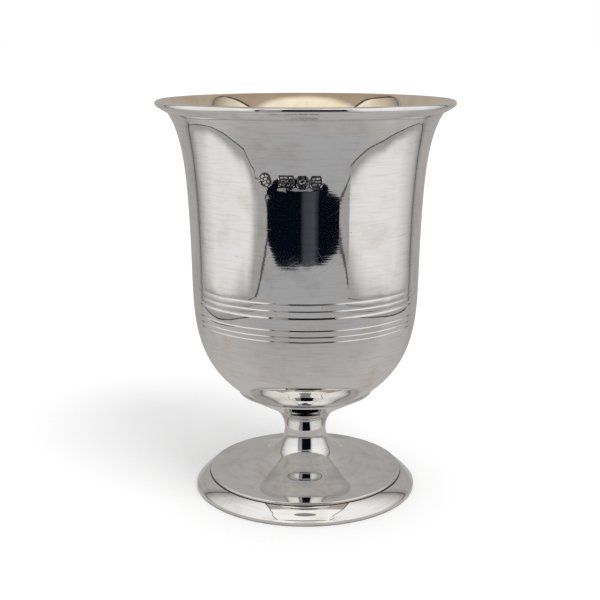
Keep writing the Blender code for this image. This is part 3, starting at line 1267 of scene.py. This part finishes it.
@dataclass
class LightTent:
    """The white cloth tent round the goblet, in millimetres.

    Only polished metal sees it, so it hides nothing from the camera.
    """

    half_width: float = 190.0
    front: float = -290.0
    rear: float = 115.0
    height: float = 400.0
    gap: float = 18.0
    opening_left: float = -84.0
    opening_right: float = 160.0
    opening_top: float = 313.0
    vent_middle: Point = (0.0, -155.0)
    vent_half: Span = (58.0, 34.0)
    vent_corners: int = 20
    room_wide: float = 700
    room_back: float = -690
    room_span: Span = (-450.0, 700.0)
    stand_sides: Span = (-45, 125)
    stand_back: float = -560
    stand_span: Span = (-150.0, -38.0)
    bench_wide: float = 300
    bench_back: float = -400
    bench_span: Span = (6.0, 34.0)
    beyond_rear: float = 20
    inset: float = 1.0
    floor_seam: float = 3.0
    roof_seam: float = 14.0
    front_seam: float = 7
    rear_seam: float = 9
    rear_spread: float = 10
    left_seam: tuple[Point, ...] = (
        (-205, 115), (-180, 50), (-164, 4), (-163, -41), (-168, -77), (-166, -117), (-187, -171),
        (-194, -220), (-187, -268),
    )
    front_edge: tuple[Point, ...] = (
        (-187, -268), (-132, -274), (-74, -291), (-21, -300), (47, -299), (125, -285), (165, -276),
    )
    right_seam: tuple[Point, ...] = (
        (165, -276), (177, -258), (182, -240), (178, -205), (158, -190), (167, -115), (181, -60), (183, 0),
        (187, 86), (205, 115),
    )

    def hang(self, piece: bpy.types.Object, cloth: bpy.types.Material) -> None:
        """Dress a card, show it to mirrors alone and keep it off the object.

        Args:
            piece: The card.
            cloth: What it glows like.
        """
        piece.data.materials.append(cloth)
        piece.visible_camera = False
        piece.visible_diffuse = False
        piece.visible_shadow = False

    def strip(self, name: str, line: list[Point], low: float, high: float, cloth: bpy.types.Material) -> None:
        """Hang an upright cloth that follows a line on the floor.

        Args:
            name: The cloth's name.
            line: The line's corners in millimetres.
            low: Height of its lower edge in millimetres.
            high: Height of its upper edge in millimetres.
            cloth: What it glows like.
        """
        piece = drawn(name, [(x * MM, y * MM, low * MM) for x, y in line])
        bpy.ops.mesh.select_all(action="SELECT")
        bpy.ops.mesh.extrude_region_move(TRANSFORM_OT_translate={"value": (0.0, 0.0, (high - low) * MM)})
        bpy.ops.object.mode_set(mode="OBJECT")
        self.hang(piece, cloth)

    def sheet(self, name: str, outline: list[Point], height: float, cloth: bpy.types.Material) -> None:
        """Lay a flat cloth.

        Args:
            name: The cloth's name.
            outline: Its corners in millimetres.
            height: Its height in millimetres.
            cloth: What it glows like.
        """
        piece = drawn(name, [(x * MM, y * MM, height * MM) for x, y in outline])
        bpy.ops.mesh.select_all(action="SELECT")
        bpy.ops.mesh.edge_face_add()
        bpy.ops.object.mode_set(mode="OBJECT")
        self.hang(piece, cloth)

    def build(self) -> None:
        """Put up the tent with its dark seams, and the dark room in front of it."""
        wide, front, rear, high = self.half_width, self.front, self.rear, self.height
        span = (front * MM, rear * MM)
        side_stops = (
            (0.00, "#8A8988"), (0.06, "#C3C1BF"), (0.16, "#E2E0DF"), (0.45, "#EAE8E7"), (0.72, "#E5E3E2"),
            (0.86, "#C6C3C1"), (0.96, "#9E9C9A"), (1.00, "#8C8A88"),
        )
        side = TentCloth("side_cloth", 1, *span, side_stops).make()
        rear_stops = ((0.0, "#8E8C8A"), (0.08, "#A8A5A3"), (0.92, "#A8A5A3"), (1.0, "#8E8C8A"))
        back = TentCloth("rear_cloth", 0, -wide * MM, wide * MM, rear_stops, hem=2 * MM, hem_wave=0.0).make()
        roof_stops = ((0.0, "#EFEDEB"), (0.53, "#EFEDEB"), (0.60, "#A49B93"), (1.0, "#94897F"))
        roof = TentCloth("roof_cloth", 1, *span, roof_stops).make()
        flap_stops = (
            (0.00, "#77767A"), (0.06, "#A3A19F"), (0.24, "#8A8988"), (0.30, "#747376"), (0.70, "#7A797C"),
            (0.86, "#8E8C8B"), (0.94, "#A3A19F"), (1.00, "#77767A"),
        )
        flap = TentCloth("front_cloth", 0, -wide * MM, wide * MM, flap_stops, hem=4 * MM, hem_wave=0.0).make()
        table_stops = (
            (0.0, "#A6A6A8"), (0.40, "#A9A8A9"), (0.58, "#B2AFAD"), (0.68, "#BCB8B6"), (0.82, "#B6B3B1"),
            (1.0, "#A5A3A1"),
        )
        # A foot far below these two lifts them clear of the hem, so they show their own greys.
        clear = {"foot": -0.5, "hem": 0.1 * MM, "hem_wave": 0.0}
        table = TentCloth("table_cloth", 1, *span, table_stops, **clear).make()
        piping = plain_glow("dark_piping", "#525154")
        fine = plain_glow("fine_piping", "#5C5B5D")
        dark = plain_glow("dark_room", "#050A14")
        stand_stops = ((0.0, "#0A0E17"), (0.2, "#3C3E44"), (0.7, "#45474C"), (1.0, "#0A0E17"))
        stand_left, stand_right = self.stand_sides
        stand = TentCloth("dim_stand", 0, stand_left * MM, stand_right * MM, stand_stops, **clear).make()
        bench = plain_glow("bench_edge", "#808083")
        self.strip("wall_left", list(self.left_seam), 0.0, high, side)
        self.strip("wall_right", list(self.right_seam), 0.0, high, side)
        past = wide + self.beyond_rear
        self.strip("wall_rear", [(-past, rear), (past, rear)], 0.0, high, back)
        border = list(self.left_seam) + list(self.front_edge)[1:] + list(self.right_seam)[1:]
        self.sheet("table_top", border, 0.0, table)
        self.sheet("roof", [(-wide, front), (wide, front), (wide, rear), (-wide, rear)], high, roof)
        vent = []
        for corner in range(self.vent_corners):
            angle = corner / (self.vent_corners // 2) * math.pi
            step = (self.vent_half[0] * math.cos(angle), self.vent_half[1] * math.sin(angle))
            vent.append(added(self.vent_middle, step))
        self.sheet("roof_vent", vent, high - self.inset, plain_glow("vent_cloth", "#8E8C8C"))
        self.strip("front_left", [(-wide, front), (self.opening_left, front)], self.gap, high, flap)
        self.strip("front_right", [(self.opening_right, front), (wide, front)], self.gap, high, flap)
        opening = [(self.opening_left, front), (self.opening_right, front)]
        self.strip("lintel", opening, self.opening_top, high, flap)
        room = [(-self.room_wide, self.room_back), (self.room_wide, self.room_back)]
        self.strip("dark_room", room, *self.room_span, dark)
        self.strip("dim_stand", [(x, self.stand_back) for x in self.stand_sides], *self.stand_span, stand)
        edge = [(-self.bench_wide, self.bench_back), (self.bench_wide, self.bench_back)]
        self.strip("bench_edge", edge, *self.bench_span, bench)
        inset, under_roof = self.inset, high - self.roof_seam
        for sign, seam in ((-1, self.left_seam), (1, self.right_seam)):
            word = "left" if sign < 0 else "right"
            line = [(x - sign * inset, y) for x, y in seam]
            self.strip(f"seam_floor_{word}", line, 0.0, self.floor_seam, piping)
            corner = (sign * (wide - inset), front + inset)
            band = [corner, (corner[0] - sign * self.front_seam, corner[1])]
            self.strip(f"seam_front_{word}", band, self.gap, high, piping)
            corner = (sign * (wide + self.rear_spread), rear - inset)
            band = [corner, (corner[0] - sign * self.rear_seam, corner[1])]
            self.strip(f"seam_rear_{word}", band, 0.0, high, fine)
            self.strip(f"seam_roof_{word}", line, under_roof, high, piping)
        band = [(-wide, front + inset), (wide, front + inset)]
        self.strip("seam_roof_front", band, under_roof, high, piping)


@dataclass(frozen=True)
class Studio:
    """The pale floor that the goblet stands on and the soft light that falls on it.

    The floor is matt white paper, which gives the eye an even ground with a soft shadow.
    """

    floor_colour: str = "#F1F1F1"
    floor_deep: str = "#EFEFEF"
    floor_radius: float = 30.0
    fibres_per_metre: float = 900.0
    sun_strength: float = 1.15
    sun_angle: float = 34.0
    sun_tip: float = 38.0
    sun_turn: float = 40.0

    def build(self) -> None:
        """Lay the floor and set up the light, which the polished metal doesn't show."""
        bpy.ops.object.select_all(action="DESELECT")
        bpy.ops.mesh.primitive_circle_add(vertices=96, radius=self.floor_radius, fill_type="NGON")
        floor = bpy.context.active_object
        floor.name = "pale_floor"
        floor.visible_glossy = False
        material = bpy.data.materials.new("matt_white_paper")
        material.use_nodes = True
        tree = material.node_tree
        shader = tree.nodes["Principled BSDF"]
        place = add_node(tree, "ShaderNodeTexCoord").outputs["Object"]
        fibre = add_node(
            tree, "ShaderNodeTexNoise", {"Vector": place, "Scale": self.fibres_per_metre, "Detail": 3.0}
        )
        ramp = add_node(tree, "ShaderNodeValToRGB", {"Fac": fibre.outputs["Fac"]})
        set_stops(ramp, [(0.3, self.floor_deep), (0.7, self.floor_colour)])
        tree.links.new(ramp.outputs["Color"], shader.inputs["Base Color"])
        shader.inputs["Roughness"].default_value = 1.0
        shader.inputs["Specular IOR Level"].default_value = 0.0
        floor.data.materials.append(material)

        sun = bpy.data.lights.new("soft_sun", "SUN")
        sun.energy = self.sun_strength
        sun.angle = math.radians(self.sun_angle)
        lamp = bpy.data.objects.new("soft_sun", sun)
        lamp.rotation_euler = (math.radians(self.sun_tip), 0.0, math.radians(self.sun_turn))
        lamp.visible_glossy = False
        bpy.context.scene.collection.objects.link(lamp)

        world = bpy.data.worlds.new("white_room")
        bpy.context.scene.world = world
        world.use_nodes = True
        world.node_tree.nodes["Background"].inputs["Color"].default_value = (1, 1, 1, 1)
        world.node_tree.nodes["Background"].inputs["Strength"].default_value = 1.0
        world.cycles_visibility.glossy = False
        bpy.context.scene.view_settings.view_transform = "Standard"


@dataclass(frozen=True)
class Viewpoint:
    """The camera: a short way above the goblet, looking slightly down on it."""

    distance: float = 296.34 * MM
    height: float = 124.52 * MM
    pitch: float = 13.33
    turn: float = 0.29
    lens: float = 64.89

    def build(self) -> None:
        """Set up the camera."""
        data = bpy.data.cameras.new("camera")
        data.sensor_width = 36.0
        data.lens = self.lens
        data.clip_start = 0.01
        data.clip_end = 50.0
        camera = bpy.data.objects.new("camera", data)
        camera.location = (0.0, -self.distance, self.height)
        camera.rotation_euler = (math.radians(90.0 - self.pitch), 0.0, math.radians(self.turn))
        bpy.context.scene.collection.objects.link(camera)
        bpy.context.scene.camera = camera


def main() -> None:
    """Build the goblet's two pieces, the tent, the studio and the camera."""
    logging.basicConfig(level=logging.INFO, format="%(message)s")
    Viewpoint().build()
    bowl_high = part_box("bowl")[1]
    foot_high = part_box("foot")[1]
    silver = PolishedSilver().make("polished_silver")
    gilt = Gilding().make("gilding")
    tarnish = PunchTarnish().make("punch_tarnish")
    foot = Foot(edge_radius=foot_high[0])
    turn = added(foot.collar_edge, BOWL_OVER_COLLAR)
    bowl = Bowl(rim_radius=bowl_high[0], height=bowl_high[2], turn=turn)
    for piece in (bowl.build(silver, gilt, tarnish), foot.build(bowl, silver)):
        log.info("%s: %d triangles", piece.name, sum(len(face.vertices) - 2 for face in piece.data.polygons))
    LightTent().build()
    Studio().build()


if __name__ == "__main__":
    main()
